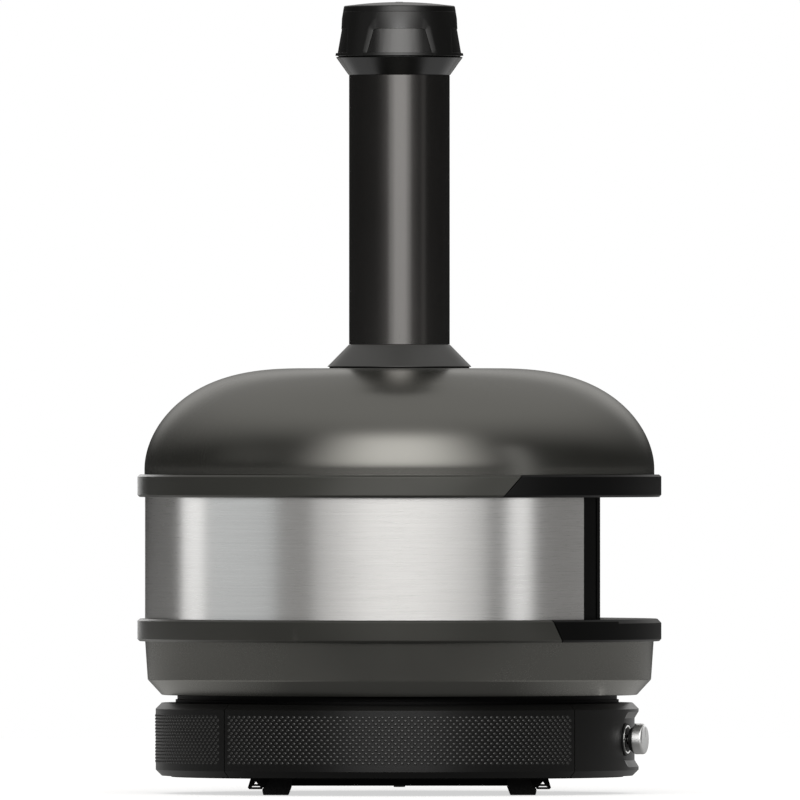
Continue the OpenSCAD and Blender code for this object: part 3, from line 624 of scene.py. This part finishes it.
def make_hood():
    """Four quarters, each with a window whose edge slopes in to a smaller opening."""
    outer = ((3.2, 44.5), (34.6, 36.5), (45.8, 28.0))
    inner = ((3.4, 40.5), (31.0, 32.4), (32.7, 28.0))
    wall, slope = 1.8 * MM, 1.6 * MM
    side, across = 6, 20
    counts = (9, 4)

    def levels(outline):
        """(height, window half-width) for each row of vertices, from the hood's foot to its top."""
        rows = [(0.0, outline[0][1])]
        for (z0, w0), (z1, w1), n in zip(outline, outline[1:], counts):
            rows += [(z0 + (z1 - z0) * i / n, w0 + (w1 - w0) * i / n) for i in range(n)]
        return rows + [outline[-1], ((HOOD_TOP - HOOD_Z) / MM, outline[-1][1])]

    def grid(bm, outline, depth, middle):
        rows = []
        for z, half in levels(outline):
            r = hood_r_at(HOOD_Z + z * MM)
            edge = math.asin(half * MM / r)
            quarter = math.radians(45)
            angles = [-quarter + (quarter - edge) * i / side for i in range(side)]
            angles += [edge * (2 * i / across - 1) for i in range(across)]
            angles += [edge + (quarter - edge) * i / side for i in range(side + 1)]
            r -= depth
            rows.append([
                bm.verts.new((r * math.cos(middle + a), r * math.sin(middle + a), HOOD_Z + z * MM))
                for a in angles
            ])
        return rows

    bm = bmesh.new()
    for quarter in range(4):
        middle = quarter * TURN / 4
        front, lip, back = (
            grid(bm, outline, depth, middle)
            for outline, depth in ((outer, 0.0), (inner, slope), (inner, wall))
        )
        top = len(front) - 1
        for rows in (front, back):
            for i in range(top):
                for j in range(2 * side + across):
                    if not (side <= j < side + across and 1 <= i < top - 1):
                        bm.faces.new((rows[i][j], rows[i][j + 1], rows[i + 1][j + 1], rows[i + 1][j]))
        for i in (0, top):
            for j in range(2 * side + across):
                bm.faces.new((front[i][j], front[i][j + 1], back[i][j + 1], back[i][j]))
        last = side + across
        loop = [(1, j) for j in range(side, last)] + [(i, last) for i in range(1, top - 1)]
        loop += [(top - 1, j) for j in range(last, side, -1)] + [(i, side) for i in range(top - 1, 1, -1)]
        for (i, j), (k, m) in zip(loop, loop[1:] + loop[:1]):
            for near, deep in ((front, lip), (lip, back)):
                bm.faces.new((near[i][j], near[k][m], deep[k][m], deep[i][j]))
    bmesh.ops.delete(bm, geom=[v for v in bm.verts if not v.link_faces], context="VERTS")
    piece("hood", bm, "cap_black", "damper", ["damper_hood"], bevel=0.55 * MM, segments=3)


def make_damper():
    make_hood()
    for name, node, finish in (
        ("hood_lid", "damper_lid", "cap_black"), ("lid_screw", "cap_screw", "screw_black"),
    ):
        piece(name, from_cad(node), finish, "damper", [node], bevel=0.4 * MM)


# ---------- the CAD nodes that stay ----------


def dress_frame():
    finishes = {
        "base_top_plate": "chassis_black", "gas_manifold": "valve_alloy", "gas_valve_left": "valve_alloy",
        "gas_valve_right": "valve_alloy", "piezo_igniters": "igniter_white", "ignition_leads": "lead_red",
        "igniter_electrodes": "porcelain",
        "burner_pipe_left": "valve_alloy", "burner_pipe_right": "valve_alloy",
        "push_collar_left": "polished_steel", "push_collar_right": "polished_steel",
        "hearth_insulation": "blanket", "wall_insulation": "blanket", "dome_insulation": "blanket",
    }
    for node, finish in finishes.items():
        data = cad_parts[node].data
        data.materials.clear()
        data.materials.append(GLOSS[finish])


# ---------- studio ----------


def make_world():
    """Soft studio light as bands of direction. The camera sees plain white behind the object."""
    world = bpy.data.worlds.new("studio")
    bpy.context.scene.world = world
    world.use_nodes = True
    tree = world.node_tree
    tree.nodes.clear()

    def node(kind, inputs=(), **settings):
        made = tree.nodes.new(kind)
        for key, value in settings.items():
            setattr(made, key, value)
        for socket, value in dict(inputs).items():
            if isinstance(value, bpy.types.NodeSocket):
                tree.links.new(value, made.inputs[socket])
            else:
                made.inputs[socket].default_value = value
        return made

    def calc(operation, a, b=0.0):
        return node("ShaderNodeMath", {0: a, 1: b}, operation=operation).outputs[0]

    def step(value, start, end, first=0.0, last=1.0):
        return node(
            "ShaderNodeMapRange", {0: value, 1: start, 2: end, 3: first, 4: last},
            interpolation_type="SMOOTHSTEP",
        ).outputs[0]

    x, y, z = node("ShaderNodeSeparateXYZ", {0: node("ShaderNodeTexCoord").outputs["Generated"]}).outputs
    flat = calc("SQRT", calc("ADD", calc("MULTIPLY", x, x), calc("MULTIPLY", y, y)))
    flat = calc("MAXIMUM", flat, 1e-4)
    rise = calc("ARCTAN2", z, flat)

    def patch(azimuth, half, soft, bottom, top, soft_low, soft_high, strength):
        a = math.radians(azimuth)
        towards = calc("ADD", calc("MULTIPLY", x, math.sin(a)), calc("MULTIPLY", y, -math.cos(a)))
        turn = calc("ARCCOSINE", calc("MINIMUM", calc("DIVIDE", towards, flat), 1.0))
        rad = math.radians
        around = step(turn, rad(half - soft), rad(half + soft), 1.0, 0.0)
        up = calc("MULTIPLY", step(rise, rad(bottom - soft_low), rad(bottom + soft_low)),
                  step(rise, rad(top - soft_high), rad(top + soft_high), 1.0, 0.0))
        return calc("MULTIPLY", calc("MULTIPLY", around, up), strength)

    overhead = step(calc("ADD", z, calc("MULTIPLY", y, 0.35)), 0.36, 0.95, 0.028, 0.50)
    total = calc("MULTIPLY", overhead, step(z, -0.3, 0.05, 0.4, 1.0))
    # Each is (azimuth, half-width, its softness, bottom, top, their softness, strength), in degrees
    for values in (
        (0, 30, 24, 5.5, 52, 5, 10, 2.15),
        (57, 5, 4, -4, 34, 4, 8, 0.15),
        (-75, 16, 10, 10, 30, 5, 10, 0.12),
        (180, 24, 9, 9, 24, 5, 8, 0.55),
    ):
        total = calc("ADD", total, patch(*values))
    lit = node("ShaderNodeBackground", {"Color": (1.0, 0.985, 0.965, 1.0), "Strength": total})
    white = node("ShaderNodeBackground", {"Color": (1.0, 1.0, 1.0, 1.0), "Strength": 1.0})
    seen = node("ShaderNodeLightPath").outputs["Is Camera Ray"]
    both = node("ShaderNodeMixShader", {0: seen, 1: lit.outputs[0], 2: white.outputs[0]})
    tree.links.new(both.outputs[0], node("ShaderNodeOutputWorld").inputs[0])


def make_floor():
    """A pale floor, white to the camera, with a softer glow of its own towards the object; that glow holds
    a painted shadow, dim under the object and in a strip in front of it.
    """
    bm = bmesh.new()
    half = 6.0
    corners = ((-half, -half), (half, -half), (half, half), (-half, half))
    bm.faces.new([bm.verts.new((x, y, 0.0)) for x, y in corners])
    mesh = bpy.data.meshes.new("floor")
    bm.to_mesh(mesh)
    bm.free()
    floor = bpy.data.objects.new("floor", mesh)
    bpy.context.scene.collection.objects.link(floor)
    made = Finish("pale_floor", Roughness=0.8)
    shade = made.node("ShaderNodeBsdfDiffuse", {"Color": (0.9, 0.9, 0.9, 1.0)})
    glow = made.node("ShaderNodeEmission", {"Color": (1.0, 1.0, 1.0, 1.0), "Strength": 0.62})
    seen_white = made.node("ShaderNodeAddShader", {0: shade.outputs[0], 1: glow.outputs[0]})
    x, y, z = made.node("ShaderNodeSeparateXYZ", {0: made.places}).outputs
    behind = made.math("MAXIMUM", y, 0.0)

    def length(a, b):
        return made.math("SQRT", made.math("ADD", made.math("MULTIPLY", a, a), made.math("MULTIPLY", b, b)))

    # Painted shadow: the floor's glow stays dim within 0.2 m of the object's middle and in the strip
    # straight in front of it, rising further out
    sides = made.span(length(x, behind), 0.2, 0.46, 0.10, 0.57)
    glow_with_painted_shadow = made.math("MULTIPLY", sides, made.span(length(x, y), 0.6, 1.15, 1.0, 0.0))
    glow_with_painted_shadow = made.math("ADD", glow_with_painted_shadow, made.span(length(x, behind), 1.0, 2.4, 0.0, 0.45))
    strength = made.math("ADD", glow_with_painted_shadow, 0.03)
    dim = made.node("ShaderNodeEmission", {"Color": (1.0, 0.99, 0.97, 1.0), "Strength": strength})
    seen = made.node("ShaderNodeLightPath").outputs["Is Camera Ray"]
    both = made.node("ShaderNodeMixShader", {0: seen, 1: dim.outputs[0], 2: seen_white.outputs[0]})
    output = next(n for n in made.tree.nodes if n.type == "OUTPUT_MATERIAL")
    made.tree.links.new(both.outputs[0], output.inputs["Surface"])
    mesh.materials.append(made.material)


def receivers(*names):
    """A collection of pieces, for lamps that light nothing else."""
    group = bpy.data.collections.new("lit_" + names[0])
    for name in names:
        group.objects.link(bpy.data.objects[name])
    return group


def make_lamp(name, group, place, target, wide, tall, radiance, colour=(1, 1, 1)):
    """An area lamp that the camera cannot see and that lights one group only."""
    data = bpy.data.lights.new(name, "AREA")
    data.shape, data.size, data.size_y = "RECTANGLE", wide, tall
    data.energy, data.color = radiance * wide * tall * math.pi, colour
    lamp = bpy.data.objects.new(name, data)
    lamp.location = place
    lamp.rotation_euler = (Vector(target) - Vector(place)).to_track_quat("-Z", "Y").to_euler()
    lamp.visible_camera = False
    lamp.light_linking.receiver_collection = group
    bpy.context.scene.collection.objects.link(lamp)


def make_bands(group, bands, reach=12.0, tall=20.0, middle=(SILL_Z + UPPER_Z) / 2):
    """Upright lamps round the oven. Each is (first azimuth, last azimuth, radiance, colour)."""
    for i, (first, last, radiance, *colour) in enumerate(bands):
        a = math.radians((first + last) / 2)
        wide = 2 * reach * math.tan(math.radians(last - first) / 2)
        place = (reach * math.sin(a), -reach * math.cos(a), middle)
        make_lamp(f"{group.name}_{i}", group, place, (0, 0, middle), wide, tall, radiance, *colour)


def make_lamps():
    cool, warm = (0.95, 0.985, 1.0), (1, 0.975, 0.955)
    make_bands(receivers("steel_band"), (
        (-116, -98, 1.72), (-96, -57, 0.88, cool), (-56, -44, 0.30, warm), (-40, -20, 0.62),
        (-20, 20, 0.72), (20, 40, 0.76), (50, 62, 1.85), (67, 93, 0.17, warm),
        (98, 122, 0.9), (124, 144, 0.35, cool), (146, 168, 1.3), (172, 188, 0.6),
    ))
    make_bands(receivers("flue_tube"), ((-24, 26, 0.50), (-13, 17, 0.45)))
    make_bands(receivers("dome"), ((52, 62, 0.45),), tall=9.0, middle=3.6)
    make_bands(receivers("upper_ring", "visor_front"), ((-30, 30, 1.0), (44, 56, 1.3), (-172, -160, 2.2)))
    make_bands(receivers("left_casing", "right_casing", "knurl_left"), ((-26, 22, 1.05),), tall=7.0)
    make_bands(receivers("front_casing"), ((148, 178, 0.5),), tall=14.0)
    make_bands(receivers("rear_casing"), ((-178, -150, 0.3),), tall=7.0)
    make_bands(receivers("lower_ring"), ((-172, -160, 1.6), (48, 60, 0.7)))
    below = receivers("cap_seat", "lower_ring")
    for i, x in enumerate((-1.05, 1.05)):
        make_lamp(f"floor_side_{i}", below, (x, 0.7, 4 * MM), (x, 0.7, 1), 1.0, 2.4, 0.62)
    make_lamp("hood_lip", receivers("hood"), (0, -1.5, 0.86), (0, 0, 0.93), 0.7, 0.3, 8.0)
    knob = receivers("knob_face_left", "knob_face_right", "bezel_trim_left", "bezel_trim_right")
    near_knob = (0.28, -0.1, 0.0667)
    make_lamp("knob_side", knob, (-0.54, -1.36, 0.9), near_knob, 1.7, 1.7, 1.0)
    make_lamp("knob_high", knob, (0.28, -0.7, 1.3), near_knob, 1.4, 1.4, 0.8)
    make_lamp("knob_low", knob, (0.2, -0.6, 4 * MM), (0.2, -0.6, 1), 0.8, 0.6, 1.0)
    make_lamp("knob_end", knob, (1.1, 1.16, 0.5), near_knob, 1.8, 0.9, 1.0)


def make_camera():
    data = bpy.data.cameras.new("camera")
    data.lens, data.sensor_width, data.clip_end = 1400.0, 36.0, 100.0
    camera = bpy.data.objects.new("camera", data)
    camera.location = (0.00073, -38.0, 0.4805)
    camera.rotation_euler = (math.radians(90), 0, 0)
    bpy.context.scene.collection.objects.link(camera)
    bpy.context.scene.camera = camera
    bpy.context.scene.view_settings.view_transform = "Standard"


make_camera()
make_shells()
make_rings()
make_wall()
make_stone()
make_burners()
make_base()
make_knurl()
make_controls()
make_flue()
make_damper()
dress_frame()
make_world()
make_floor()
make_lamps()
